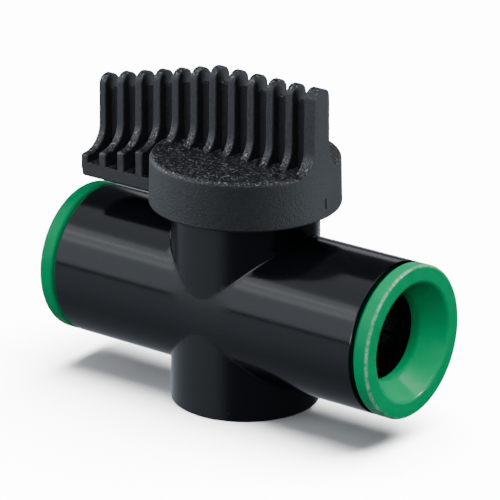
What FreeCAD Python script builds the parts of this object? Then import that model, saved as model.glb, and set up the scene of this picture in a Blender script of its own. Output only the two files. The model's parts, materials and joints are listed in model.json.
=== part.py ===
"""Quarter-turn ball valve for push-in tube, as an assembly of its separate pieces.

A moulded cross-shaped body carries water along X. The ball sits where the barrel and the upright tower
cross, between two seats that are loaded from the ends, and a stem in the tower turns it. Each end of the
barrel holds a push-in joint: a stop, an O-ring, a backing washer, a toothed grab ring and its holder, and
the green collar that closes the bore. The handle caps the tower and turns stem and ball by 90 degrees.

Frame: origin at the centre of the foot, +X along the barrel, +Z up the stem. Millimetres. The valve is
open, with the handle's long end over -X.
"""

import math
import os

import FreeCAD
import Part

# ---------------------------------------------------------------- driving sizes
TUBE_OD = 15.0  # tube that each end takes
PORT_SPAN = 72.0  # end to end, over both collars
AXIS_HEIGHT = 18.4  # foot to barrel axis
BALL_OD = 17.5
FLOW_BORE = 10.4  # through seat carriers, seats and ball

# barrel and its push-in ends
JOINT_SECTION = 3.5  # radial room around the tube for the O-ring and collar
BARREL_WALL = 2.5
COLLAR_BAND = 2.8  # green band that shows outside the barrel
COLLAR_GROOVE = 0.6  # dark groove between band and barrel
COLLAR_GROOVE_DEPTH = 0.9
COLLAR_FACE_WIDTH = 3.1  # flat annulus at the mouth
COLLAR_EDGE_ROUND = 0.45
THROAT_CLEARANCE = 0.15  # collar to tube
THROAT_DEPTH = 4.2  # from the end face
THROAT_LAND = 1.8  # from the funnel to the collar's inner end
HOLDER_LENGTH = 5.35
HOLDER_CLEARANCE = 0.35  # holder to tube
HOLDER_LAND = 3.0
TUBE_RING_SECTION = 3.3
BACKING_WASHER = 1.1
GRAB_PLATE = 0.45  # sheet thickness
GRAB_RIM = 1.3  # flat outer rim, radial
GRAB_LEAN = 1.5  # how far the tooth tips stand in from the rim
GRAB_TEETH = 16
GRAB_SLOT = 0.7

# ball, seats and seat carriers
BALL_CLEARANCE = 0.08  # ball to seat
CHAMBER_GAP = 0.55  # ball to chamber wall
SEAT_WIDTH = 2.4  # radial
SEAT_LIP = 3.4  # length of a seat's full section
SEAT_CONTACT = 1.24  # radial width of the polished contact
SEAT_TAIL = 0.8  # wall of the sleeve that carries the seat's O-ring
SEAT_RING_SECTION = 1.6
PORT_WEB = 2.7  # body wall between chamber and end bore
PILOT_DEPTH = 2.6  # pocket that centres the tube's end
PILOT_CLEARANCE = 0.3
FIT_CLEARANCE = 0.05  # between pieces that sit in each other
CUT_OVERRUN = 1.0  # how far a cutting shape passes an open face
JOIN_OVERLAP = 0.5  # how far a joined shape reaches into the one it joins
TOLERANCE = 1e-4  # two places closer than this are the same

# tower, bonnet and stem
BONNET_LEDGE = 1.2
TOWER_WALL = 2.5
TOWER_DRAFT = 0.15  # the tower's radius grows by this from top to foot
CHAMBER_FLOOR = 2.4
CHAMBER_SUMP = 1.25  # below the ball
FOOT_RIM = 2.6
FOOT_RIB = 1.2
FOOT_RIB_SETBACK = 1.2  # ribs stop this far above the foot
FOOT_EDGE_ROUND = 0.35
STEM_OD = 9.0
STEM_RUNNING = 0.06  # radial clearance of the stem in the bonnet
STEM_FLANGE_WIDTH = 1.5
STEM_FLANGE_THICKNESS = 1.7
STEM_FLANGE_GAP = 0.15  # ball to the stem's flange
TANG_THICKNESS = 3.0
SLOT_DEPTH = 2.5
SQUARE = 6.2
SQUARE_CORNER = 0.4
WASHER_THICKNESS = 0.7
WASHER_RECESS = 0.4  # the bonnet reaches down round the washer by this
BONNET_HEIGHT = 10.5
TOWER_LIP = 0.5  # tower above the bonnet
BONNET_RING_SECTION = 1.6
BONNET_RING_SHARE = 0.3  # of the bonnet's height
BONNET_POCKETS = 6
BONNET_WALL = 1.2
STEM_RING_SECTION = 1.3
STEM_RING_SHARES = (0.36, 0.68)  # of the bonnet's height
STEM_RING_GAP = 0.04  # O-ring to the bore it turns in
RING_SIDE_ROOM = 0.3  # an O-ring's groove is this much wider than its section

# handle
HANDLE_GAP = 4.2  # barrel to handle
SKIRT_GAP = 1.5  # tower to the cap's skirt
SKIRT_WALL = 2.3
CAP_DRAFT = 0.2
CAP_PLATE = 2.2
CAP_EDGE_ROUND = 0.9
CEILING_GAP = 2.3  # tower top to the cap's ceiling
HUB_WALL = 2.2
HUB_RISE = 0.8  # hub above the bonnet's top
GRIP_HEIGHT = 14.6  # cap top to grip top
GRIP_REACH = 31.3  # stem axis to the long end
GRIP_HALF = 2.15
GRIP_TOP_HALF = 1.95
CREST_BACK = 5.6  # where the sloping crest turns level, behind the stem
CREST_SLOPE = math.tan(math.radians(13.6))
RIB_COUNT = 12
RIB_THICKNESS = 1.65
END_RIB_THICKNESS = 2.4
RIB_EDGE_ROUND = 0.3
WEB_THICKNESS = 1.0
WEB_DROP = 2.7  # crest of the web below the ribs' crest
FLARE_RADIUS = 4.45
WING_HALF = 7.15
WING_CORNER = 0.55
WING_RISE = 4.15  # wing shoulder above the handle's underside at the long end
WING_FLOOR = 2.7  # base plate that joins the ribs under the wing
WING_EDGE_ROUND = 0.6
FOOT_SINK = 0.6  # the flare's low point under the cap's top
UNDERCUT_WALL = 1.3
UNDERCUT_DEPTH = 1.3
GATE_WIDTH = 0.35  # upright slit left by the gate on the cap's side
GATE_HEIGHT = 1.9
GATE_RISE = 1.8  # above the cap's underside
GATE_OFFSET = 0.9  # from the grip's middle plane
GATE_DEPTH = 0.3

# quarter-turn stops under the cap
TURN = 90.0
STOP_WIDTH = 12.0  # degrees
STOP_PLAY = 0.5  # degrees
STOP_ANGLE = 90.0  # where the tower's lug stands
LUG_RISE = 1.1
LUG_HEIGHT = 3.2
LUG_ROOT = 1.0  # how far the lug reaches into the tower's wall
STOP_GAP = 0.3  # tower to the handle's stops
STOP_RECESS = 0.575  # the stops start this far above the cap's underside

# ---------------------------------------------------------------- worked out
tube_r = TUBE_OD / 2
bore_r = tube_r + JOINT_SECTION
barrel_r = bore_r + BARREL_WALL
throat_r = tube_r + THROAT_CLEARANCE
flow_r = FLOW_BORE / 2
half_span = PORT_SPAN / 2
barrel_end = half_span - COLLAR_BAND - COLLAR_GROOVE
spigot_r = bore_r - FIT_CLEARANCE

# the push-in joint's pieces, stacked inwards from the collar
spigot_end = half_span - THROAT_DEPTH - THROAT_LAND
holder_face = spigot_end - FIT_CLEARANCE
holder_back = holder_face - HOLDER_LENGTH
grab_face = holder_back - FIT_CLEARANCE
bend_r = spigot_r - GRAB_RIM
grab_back = grab_face - GRAB_PLATE
washer_face = grab_face - GRAB_PLATE - GRAB_LEAN - FIT_CLEARANCE
tube_ring_face = washer_face - BACKING_WASHER - FIT_CLEARANCE
carrier_end = tube_ring_face - TUBE_RING_SECTION - FIT_CLEARANCE

ball_r = BALL_OD / 2
chamber_r = ball_r + CHAMBER_GAP
seat_r = flow_r + SEAT_WIDTH
seat_bore_r = seat_r + FIT_CLEARANCE
contact_x = math.sqrt(ball_r**2 - (flow_r + SEAT_CONTACT) ** 2)
seat_back = contact_x + SEAT_LIP
port_step = chamber_r + PORT_WEB
seat_tail_end = seat_back + SEAT_RING_SECTION + FIT_CLEARANCE
carrier_nose = seat_tail_end + FIT_CLEARANCE

bonnet_bore_r = chamber_r + BONNET_LEDGE
tower_r = bonnet_bore_r + TOWER_WALL
foot_r = tower_r + TOWER_DRAFT
stem_r = STEM_OD / 2
stem_bore_r = stem_r + STEM_RUNNING
flange_r = stem_r + STEM_FLANGE_WIDTH

# heights above the barrel axis
flange_bottom = ball_r + STEM_FLANGE_GAP
flange_top = flange_bottom + STEM_FLANGE_THICKNESS
washer_top = flange_top + FIT_CLEARANCE + WASHER_THICKNESS
bonnet_seat = washer_top + FIT_CLEARANCE - WASHER_RECESS
bonnet_top = bonnet_seat + BONNET_HEIGHT
tower_top = bonnet_top + TOWER_LIP
ceiling = tower_top + CEILING_GAP
cap_top = ceiling + CAP_PLATE
underside = barrel_r + HANDLE_GAP
crest = cap_top + GRIP_HEIGHT
square_top = cap_top - CAP_PLATE / 2
hub_bottom = bonnet_top + HUB_RISE

skirt_bore_r = tower_r + SKIRT_GAP
cap_r = skirt_bore_r + SKIRT_WALL
cap_top_r = cap_r - CAP_DRAFT

X_AXIS = FreeCAD.Vector(1, 0, 0)
Z_AXIS = FreeCAD.Vector(0, 0, 1)


# ---------------------------------------------------------------- helpers
def point(x, y, z):
    """A point given by its height above the barrel axis."""
    return FreeCAD.Vector(x, y, z + AXIS_HEIGHT)


def rod(radius, start, end):
    """A cylinder along the barrel."""
    return Part.makeCylinder(radius, end - start, point(start, 0, 0), X_AXIS)


def post(radius, bottom, top):
    """A cylinder up the stem's axis."""
    return Part.makeCylinder(radius, top - bottom, point(0, 0, bottom), Z_AXIS)


def block(x0, x1, y0, y1, z0, z1):
    """A box between two corners."""
    return Part.makeBox(x1 - x0, y1 - y0, z1 - z0, point(x0, y0, z0))


def turned_along_x(outline):
    """A solid of revolution about the barrel axis, from (x, radius) points."""
    wire = Part.makePolygon([point(x, 0, r) for x, r in outline + outline[:1]])
    return Part.Face(wire).revolve(point(0, 0, 0), X_AXIS, 360)


def turned_about_stem(outline):
    """A solid of revolution about the stem, from (radius, height) points."""
    wire = Part.makePolygon([point(r, 0, z) for r, z in outline + outline[:1]])
    return Part.Face(wire).revolve(point(0, 0, 0), Z_AXIS, 360)


def swept_y(outline, half_width):
    """A plate of constant Y width from (x, height) points."""
    wire = Part.makePolygon([point(x, -half_width, z) for x, z in outline + outline[:1]])
    return Part.Face(wire).extrude(FreeCAD.Vector(0, 2 * half_width, 0))


def sector(inner, outer, bottom, top, middle, width):
    """A block between two radii, as wide as an angle, about the stem."""
    shell = post(outer, bottom, top).cut(post(inner, bottom, top))
    reach = 2 * outer
    half = math.radians(width / 2)
    wedge = Part.Face(
        Part.makePolygon(
            [
                point(0, 0, bottom),
                point(reach * math.cos(half), -reach * math.sin(half), bottom),
                point(reach * math.cos(half), reach * math.sin(half), bottom),
                point(0, 0, bottom),
            ]
        )
    ).extrude(FreeCAD.Vector(0, 0, top - bottom))
    wedge.rotate(point(0, 0, 0), Z_AXIS, middle)
    return shell.common(wedge)


def rounded(shape, radius, wanted):
    """Fillets the edges for which wanted(edge) is true."""
    edges = [edge for edge in shape.Edges if wanted(edge)]
    return shape.makeFillet(radius, edges)


def circle_edge(edge, radius, along, at):
    """True for a full circle of this radius in the plane where coordinate `along` is `at`."""
    if not isinstance(edge.Curve, Part.Circle) or abs(edge.Curve.Radius - radius) > TOLERANCE:
        return False
    return abs(edge.BoundBox.Center[along] - at) < TOLERANCE and edge.BoundBox.DiagonalLength > radius


def mirrored(shape):
    """The same piece at the other end of the barrel."""
    return shape.mirror(FreeCAD.Vector(0, 0, 0), X_AXIS)


# ---------------------------------------------------------------- body
def foot_recess():
    """The hollow under the chamber floor, crossed by two stiffening ribs."""
    top = -(ball_r + CHAMBER_SUMP + CHAMBER_FLOOR)
    recess = post(foot_r - FOOT_RIM, -AXIS_HEIGHT - CUT_OVERRUN, top)
    half = FOOT_RIB / 2
    rib_foot = -AXIS_HEIGHT + FOOT_RIB_SETBACK
    along = block(-foot_r, foot_r, -half, half, rib_foot, top)
    across = block(-half, half, -foot_r, foot_r, rib_foot, top)
    return recess.cut(along.fuse(across))


def make_body():
    """The cross-shaped moulding: barrel, tower, chamber and end bores."""
    tower = Part.makeCone(foot_r, tower_r, tower_top + AXIS_HEIGHT, point(0, 0, -AXIS_HEIGHT), Z_AXIS)
    tower = rounded(tower, FOOT_EDGE_ROUND, lambda e: circle_edge(e, foot_r, 2, 0))
    body = rod(barrel_r, -barrel_end, barrel_end).fuse(tower).removeSplitter()
    lug_top = tower_top - FIT_CLEARANCE
    lug_bottom = lug_top - LUG_HEIGHT
    lug = sector(tower_r - LUG_ROOT, tower_r + LUG_RISE, lug_bottom, lug_top, STOP_ANGLE, STOP_WIDTH)
    body = body.fuse(lug)
    for bore in (
        post(chamber_r, -(ball_r + CHAMBER_SUMP), bonnet_seat),
        post(bonnet_bore_r, bonnet_seat, tower_top + CUT_OVERRUN),
        rod(seat_bore_r, -port_step, port_step),
        rod(bore_r, port_step, barrel_end + CUT_OVERRUN),
        rod(bore_r, -barrel_end - CUT_OVERRUN, -port_step),
        foot_recess(),
    ):
        body = body.cut(bore)
    return body


# ---------------------------------------------------------------- push-in ends
def make_collar():
    """The green collar at the +X end: band, funnel, throat and a short spigot in the barrel."""
    face = half_span
    mouth_r = barrel_r - COLLAR_FACE_WIDTH
    throat = face - THROAT_DEPTH
    groove_r = barrel_r - COLLAR_GROOVE_DEPTH
    collar = turned_along_x(
        [
            (face, mouth_r),
            (face, barrel_r),
            (face - COLLAR_BAND, barrel_r),
            (face - COLLAR_BAND, groove_r),
            (barrel_end, groove_r),
            (barrel_end, spigot_r),
            (spigot_end, spigot_r),
            (spigot_end, throat_r),
            (throat, throat_r),
        ]
    )
    return rounded(
        collar,
        COLLAR_EDGE_ROUND,
        lambda e: circle_edge(e, mouth_r, 0, face)
        or circle_edge(e, barrel_r, 0, face)
        or circle_edge(e, barrel_r, 0, face - COLLAR_BAND),
    )


def make_grab_holder():
    """The black sleeve at +X that guides the tube and holds the grab ring's rim."""
    guide_r = tube_r + HOLDER_CLEARANCE
    return turned_along_x(
        [
            (holder_face, guide_r),
            (holder_face, spigot_r),
            (holder_back, spigot_r),
            (holder_back, bend_r),
            (holder_face - HOLDER_LAND, guide_r),
        ]
    )


def make_grab_ring():
    """The spring-steel ring at +X whose teeth lean in and bite the tube."""
    tip_r = tube_r + FIT_CLEARANCE
    ring = turned_along_x(
        [
            (grab_face, bend_r),
            (grab_face, spigot_r),
            (grab_back, spigot_r),
            (grab_back, bend_r),
            (grab_back - GRAB_LEAN, tip_r),
            (grab_face - GRAB_LEAN, tip_r),
        ]
    )
    half = GRAB_SLOT / 2
    slot_start = grab_back - GRAB_LEAN - CUT_OVERRUN
    for tooth in range(GRAB_TEETH):
        slot = block(slot_start, grab_face + CUT_OVERRUN, -half, half, 0, bend_r)
        slot.rotate(point(0, 0, 0), X_AXIS, 360 / GRAB_TEETH * tooth)
        ring = ring.cut(slot)
    return ring


def make_backing_washer():
    """The washer at +X that keeps the grab ring's teeth off the O-ring."""
    start = washer_face - BACKING_WASHER
    return rod(spigot_r, start, washer_face).cut(rod(throat_r, start, washer_face))


def make_tube_o_ring():
    """The O-ring at +X that seals on the tube."""
    section_r = TUBE_RING_SECTION / 2
    return Part.makeTorus(spigot_r - section_r, section_r, point(tube_ring_face - section_r, 0, 0), X_AXIS)


def make_seat_carrier():
    """The pressed-in ring that backs the seat at +X and stops the tube."""
    pilot_r = tube_r + PILOT_CLEARANCE
    return turned_along_x(
        [
            (carrier_nose, flow_r),
            (carrier_nose, seat_bore_r - FIT_CLEARANCE),
            (port_step, seat_bore_r - FIT_CLEARANCE),
            (port_step, spigot_r),
            (carrier_end, spigot_r),
            (carrier_end, pilot_r),
            (carrier_end - PILOT_DEPTH, pilot_r),
            (carrier_end - PILOT_DEPTH, flow_r),
        ]
    )


def make_seat():
    """The seat at +X: a ring with a spherical contact and a tail that carries its O-ring."""
    ring = turned_along_x(
        [
            (contact_x, flow_r),
            (contact_x, seat_r),
            (seat_back, seat_r),
            (seat_back, flow_r + SEAT_TAIL),
            (seat_tail_end, flow_r + SEAT_TAIL),
            (seat_tail_end, flow_r),
        ]
    )
    return ring.cut(Part.makeSphere(ball_r + BALL_CLEARANCE, point(0, 0, 0)))


def make_seat_o_ring():
    """The O-ring that presses the seat at +X to the ball."""
    section_r = min(SEAT_RING_SECTION, seat_bore_r - flow_r - SEAT_TAIL) / 2 - FIT_CLEARANCE / 2
    middle_r = (flow_r + SEAT_TAIL + seat_bore_r) / 2
    middle_x = (seat_back + carrier_nose) / 2
    return Part.makeTorus(middle_r, section_r, point(middle_x, 0, 0), X_AXIS)


# ---------------------------------------------------------------- ball and stem
def make_ball():
    """The ball, bored along the barrel and slotted across for the stem."""
    ball = Part.makeSphere(ball_r, point(0, 0, 0))
    half_slot = TANG_THICKNESS / 2 + FIT_CLEARANCE
    slot = block(-half_slot, half_slot, -ball_r, ball_r, ball_r - SLOT_DEPTH, ball_r)
    return ball.cut(rod(flow_r, -ball_r, ball_r)).cut(slot)


def o_ring_groove(shaft_r, section, middle):
    """The ring-shaped cut of an outside O-ring groove about the stem."""
    half = (section + RING_SIDE_ROOM) / 2
    bottom, top = middle - half, middle + half
    return post(shaft_r + CUT_OVERRUN, bottom, top).cut(post(shaft_r - section, bottom, top))


def stem_ring_heights():
    """Where the stem's two O-rings sit."""
    return [bonnet_seat + BONNET_HEIGHT * share for share in STEM_RING_SHARES]


def make_stem():
    """Tang, blow-out flange, grooved shaft and the square that the handle fits."""
    half_tang = TANG_THICKNESS / 2
    tang_reach = math.sqrt(flange_r**2 - half_tang**2) - FIT_CLEARANCE
    tang_bottom = ball_r - SLOT_DEPTH + FIT_CLEARANCE
    half_square = SQUARE / 2
    shaft_top = bonnet_top + HUB_RISE / 2
    stem = post(flange_r, flange_bottom, flange_top).fuse(post(stem_r, flange_top, shaft_top))
    stem = stem.fuse(block(-half_tang, half_tang, -tang_reach, tang_reach, tang_bottom, flange_top))
    square = block(-half_square, half_square, -half_square, half_square, shaft_top, square_top)
    square = rounded(square, SQUARE_CORNER, lambda e: e.BoundBox.ZLength > TOLERANCE)
    stem = stem.fuse(square)
    for height in stem_ring_heights():
        stem = stem.cut(o_ring_groove(stem_r, STEM_RING_SECTION, height))
    return stem.removeSplitter()


def o_ring_about_stem(outer_r, section, middle):
    """An O-ring about the stem whose outside just clears the bore it seals in."""
    section_r = section / 2 - STEM_RING_GAP / 2
    return Part.makeTorus(outer_r - section_r, section_r, point(0, 0, middle), Z_AXIS)


def make_thrust_washer():
    """The low-friction washer between the stem's flange and the bonnet."""
    bottom = flange_top + FIT_CLEARANCE
    return post(flange_r, bottom, washer_top).cut(post(stem_bore_r, bottom, washer_top))


def bonnet_ring_height():
    """Where the bonnet's O-ring sits."""
    return bonnet_seat + BONNET_HEIGHT * BONNET_RING_SHARE


def make_bonnet():
    """The bush that closes the tower round the stem."""
    bonnet = post(bonnet_bore_r - FIT_CLEARANCE, bonnet_seat, bonnet_top)
    bonnet = bonnet.cut(post(stem_bore_r, bonnet_seat, bonnet_top))
    washer_recess = post(flange_r + FIT_CLEARANCE, bonnet_seat, washer_top + FIT_CLEARANCE)
    bonnet = bonnet.cut(washer_recess)
    outer = bonnet_bore_r - FIT_CLEARANCE
    bonnet = bonnet.cut(o_ring_groove(outer, BONNET_RING_SECTION, bonnet_ring_height()))
    pocket_middle = (stem_bore_r + outer) / 2
    pocket_r = (outer - stem_bore_r) / 2 - BONNET_WALL
    pocket_bottom = bonnet_ring_height() + BONNET_RING_SECTION + BONNET_WALL
    for turn in range(BONNET_POCKETS):
        foot = point(pocket_middle, 0, pocket_bottom)
        pocket = Part.makeCylinder(pocket_r, bonnet_top - pocket_bottom, foot)
        pocket.rotate(point(0, 0, 0), Z_AXIS, 360 / BONNET_POCKETS * turn)
        bonnet = bonnet.cut(pocket)
    return bonnet


# ---------------------------------------------------------------- handle
def crest_height(x):
    """Height of the grip's crest: level over the stem, sloping down to the long end."""
    return crest - CREST_SLOPE * max(0.0, -CREST_BACK - x)


def shoulder_height(x):
    """Height of the low point of a rib's flare."""
    over_cap = cap_top - FOOT_SINK
    return min(over_cap, underside + WING_RISE + CREST_SLOPE * (x + GRIP_REACH))


def rib_outline(x, bottom):
    """A rib's face at x: full-round top, straight flanks, a hollow flare and the wing's corner."""
    top = crest_height(x + RIB_THICKNESS / 2)
    shoulder = shoulder_height(x)
    flare_top = shoulder + FLARE_RADIUS
    flare_foot = GRIP_HALF + FLARE_RADIUS
    diagonal = 1 - math.sqrt(0.5)
    half = [
        ("line", (WING_HALF, bottom)),
        ("line", (WING_HALF, shoulder - WING_CORNER)),
        ("arc", (WING_HALF - WING_CORNER * diagonal, shoulder - WING_CORNER * diagonal)),
        ("line", (WING_HALF - WING_CORNER, shoulder)),
        ("line", (flare_foot, shoulder)),
        ("arc", (GRIP_HALF + FLARE_RADIUS * diagonal, shoulder + FLARE_RADIUS * diagonal)),
        ("line", (GRIP_HALF, flare_top)),
        ("line", (GRIP_TOP_HALF, top - GRIP_TOP_HALF)),
    ]
    over = [("arc", (0, top))]
    back = [(kind, (-y, z)) for kind, (y, z) in reversed(half)]
    path = half + over + back
    edges = []
    start = path[0][1]
    through = None
    for kind, place in path[1:] + path[:1]:
        if kind == "arc":
            through = place
            continue
        a, b = point(x, *start), point(x, *place)
        if through is None:
            if a.distanceToPoint(b) > TOLERANCE:
                edges.append(Part.LineSegment(a, b).toShape())
        else:
            edges.append(Part.Arc(a, point(x, *through), b).toShape())
        start, through = place, None
    return Part.Face(Part.Wire(edges))


def make_rib(x, thickness, bottom):
    """One rib of the grip, with softened edges on both faces."""
    rib = rib_outline(x, bottom).extrude(FreeCAD.Vector(thickness, 0, 0))
    low = bottom + AXIS_HEIGHT

    def on_a_face(edge):
        box = edge.BoundBox
        return box.XLength < TOLERANCE and box.ZMax > low + TOLERANCE

    return rounded(rib, RIB_EDGE_ROUND, on_a_face)


def rib_places():
    """The left face of each rib, evenly spaced from the long end to the cap's rim."""
    last = cap_top_r - END_RIB_THICKNESS
    pitch = (last + GRIP_REACH) / (RIB_COUNT - 1)
    return [-GRIP_REACH + pitch * i for i in range(RIB_COUNT)]


def make_web():
    """The thin wall down the middle of the grip that joins the ribs."""
    left = -GRIP_REACH + RIB_THICKNESS / 2
    right = cap_top_r - END_RIB_THICKNESS / 2
    wing_bottom = underside + WING_FLOOR / 2
    plate = ceiling + CAP_PLATE / 2
    drop = WEB_DROP
    return swept_y(
        [
            (left, wing_bottom),
            (left, crest_height(left) - drop),
            (-CREST_BACK, crest - drop),
            (right, crest - drop),
            (right, plate),
            (-cap_top_r + SKIRT_WALL / 2, plate),
            (-cap_top_r + SKIRT_WALL / 2, wing_bottom),
        ],
        WEB_THICKNESS / 2,
    )


def make_wing_floor():
    """The base plate under the overhanging ribs, hollowed from below."""
    inner = -cap_top_r + SKIRT_WALL / 2
    plate = block(-GRIP_REACH, inner, -WING_HALF, WING_HALF, underside, underside + WING_FLOOR)
    low = underside + AXIS_HEIGHT

    def below_and_outside(edge):
        box = edge.BoundBox
        at_long_end = box.XMax < -GRIP_REACH + TOLERANCE
        return box.ZMax < low + TOLERANCE and (at_long_end or box.XLength > TOLERANCE)

    plate = rounded(plate, WING_EDGE_ROUND, below_and_outside)
    wall = UNDERCUT_WALL
    undercut = block(
        -GRIP_REACH + wall,
        -cap_r - wall,
        -WING_HALF + wall,
        WING_HALF - wall,
        underside - CUT_OVERRUN,
        underside + UNDERCUT_DEPTH,
    )
    return plate.cut(undercut)


def make_cap():
    """The drum of the handle, solid: its skirt, top plate and softened rim."""
    cap = turned_about_stem([(0, underside), (cap_r, underside), (cap_top_r, cap_top), (0, cap_top)])
    return rounded(cap, CAP_EDGE_ROUND, lambda e: circle_edge(e, cap_top_r, 2, cap_top + AXIS_HEIGHT))


def gate_mark():
    """The blind slit left by the gate on the cap's side."""
    left = GATE_OFFSET - GATE_WIDTH / 2
    low = underside + GATE_RISE
    floor = cap_top_r - GATE_DEPTH
    return block(floor, cap_r + CUT_OVERRUN, left, left + GATE_WIDTH, low, low + GATE_HEIGHT)


def make_handle():
    """The moulded handle: drum, ribbed grip, hub and the two stops."""
    handle = make_cap()
    base = underside + WING_FLOOR / 2
    rim = post(cap_top_r, underside, crest + CUT_OVERRUN)
    clear_of_cap = cap_top + AXIS_HEIGHT + RIB_EDGE_ROUND
    for x in rib_places():
        if x > cap_top_r - END_RIB_THICKNESS - TOLERANCE:
            rib = rib_outline(x, base).extrude(FreeCAD.Vector(2 * END_RIB_THICKNESS, 0, 0)).common(rim)
            rib = rounded(rib, RIB_EDGE_ROUND, lambda e: e.BoundBox.ZMax > clear_of_cap)
        elif x > -cap_top_r:
            rib = make_rib(x, RIB_THICKNESS, base).common(rim)
        else:
            rib = make_rib(x, RIB_THICKNESS, base)
        handle = handle.fuse(rib)
    handle = handle.fuse(make_web()).fuse(make_wing_floor())
    handle = handle.cut(post(skirt_bore_r, underside - CUT_OVERRUN, ceiling))
    hub_r = SQUARE / 2 * math.sqrt(2) + HUB_WALL / 2
    handle = handle.fuse(post(hub_r, hub_bottom, ceiling + CAP_PLATE / 2))
    half = SQUARE / 2 + FIT_CLEARANCE
    socket_top = square_top + FIT_CLEARANCE
    handle = handle.cut(block(-half, half, -half, half, hub_bottom - CUT_OVERRUN, socket_top))
    contact = STOP_WIDTH + STOP_PLAY
    stop_inner = tower_r + STOP_GAP
    stop_outer = skirt_bore_r + SKIRT_WALL / 2
    for middle in (STOP_ANGLE - contact, STOP_ANGLE + TURN + contact):
        bottom = underside + STOP_RECESS
        stop = sector(stop_inner, stop_outer, bottom, ceiling + JOIN_OVERLAP, middle, STOP_WIDTH)
        handle = handle.fuse(stop)
    return handle.cut(gate_mark()).removeSplitter()


# ---------------------------------------------------------------- assembly
def build():
    """Every piece by its node name."""
    low_ring, high_ring = stem_ring_heights()
    stem_seal_r = stem_bore_r - STEM_RING_GAP
    bonnet_seal_r = bonnet_bore_r - STEM_RING_GAP
    pieces = {
        "valve_body": make_body(),
        "ball": make_ball(),
        "stem": make_stem(),
        "stem_o_ring_lower": o_ring_about_stem(stem_seal_r, STEM_RING_SECTION, low_ring),
        "stem_o_ring_upper": o_ring_about_stem(stem_seal_r, STEM_RING_SECTION, high_ring),
        "thrust_washer": make_thrust_washer(),
        "bonnet": make_bonnet(),
        "bonnet_o_ring": o_ring_about_stem(bonnet_seal_r, BONNET_RING_SECTION, bonnet_ring_height()),
        "handle": make_handle(),
    }
    at_each_end = {
        "seat": make_seat(),
        "seat_o_ring": make_seat_o_ring(),
        "seat_carrier": make_seat_carrier(),
        "tube_o_ring": make_tube_o_ring(),
        "backing_washer": make_backing_washer(),
        "grab_ring": make_grab_ring(),
        "grab_holder": make_grab_holder(),
        "collar": make_collar(),
    }
    for name, shape in at_each_end.items():
        pieces[f"{name}_right"] = shape
        pieces[f"{name}_left"] = mirrored(shape)
    return pieces


def main():
    """Writes one STEP file for each piece."""
    os.makedirs("parts", exist_ok=True)
    for name, shape in build().items():
        solids = shape.Solids
        if len(solids) != 1 or not shape.isValid():
            raise ValueError(f"{name} has {len(solids)} solids, valid {shape.isValid()}")
        solids[0].exportStep(f"parts/{name}.step")
        print(f"{name:20s} {solids[0].Volume:10.1f} mm3")


main()
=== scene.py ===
"""Looks of a quarter-turn push-in ball valve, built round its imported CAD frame.

The body, the handle and the two collars are remodelled here as finely rounded mouldings that
stand for their CAD nodes. The pieces inside keep their CAD shape and get their own finishes.
Every mesh is drawn in millimetres in the frame's own axes and brought to metres as its last step.
"""

import json
import logging
import math
from dataclasses import dataclass
from enum import Enum
from typing import Callable, Iterable, Sequence, Union

import bmesh
import bpy
from mathutils import Matrix, Vector


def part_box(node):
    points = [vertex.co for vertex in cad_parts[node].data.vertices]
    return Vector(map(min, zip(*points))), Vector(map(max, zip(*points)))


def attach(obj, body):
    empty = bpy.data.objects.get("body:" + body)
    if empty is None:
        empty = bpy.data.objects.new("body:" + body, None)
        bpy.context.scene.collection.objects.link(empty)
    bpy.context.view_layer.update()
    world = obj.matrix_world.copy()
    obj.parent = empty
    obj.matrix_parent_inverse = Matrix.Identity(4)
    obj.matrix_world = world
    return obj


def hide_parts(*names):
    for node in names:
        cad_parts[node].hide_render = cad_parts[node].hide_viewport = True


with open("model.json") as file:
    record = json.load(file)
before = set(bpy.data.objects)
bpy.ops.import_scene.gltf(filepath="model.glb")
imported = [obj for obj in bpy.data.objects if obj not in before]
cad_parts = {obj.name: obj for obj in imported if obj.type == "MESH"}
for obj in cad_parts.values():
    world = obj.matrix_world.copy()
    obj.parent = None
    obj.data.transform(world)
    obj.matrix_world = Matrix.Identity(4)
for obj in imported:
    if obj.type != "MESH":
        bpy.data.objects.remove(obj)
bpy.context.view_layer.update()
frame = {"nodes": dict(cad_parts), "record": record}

LOG = logging.getLogger("ball_valve")
MM = 0.001
MERGE = 1e-5  # mm, under which two vertices are the same
SAME = 1e-3  # mm, under which two sizes are the same
OVERRUN = 1.0  # mm that a cutting shape passes an open face
SHARP = 34.0  # degrees over which an edge stays sharp
GLOSS, SATIN = 0, 1  # the body's two material indices

Colour = tuple[float, float, float]
Tint = Union[Colour, bpy.types.NodeSocket]


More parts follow.
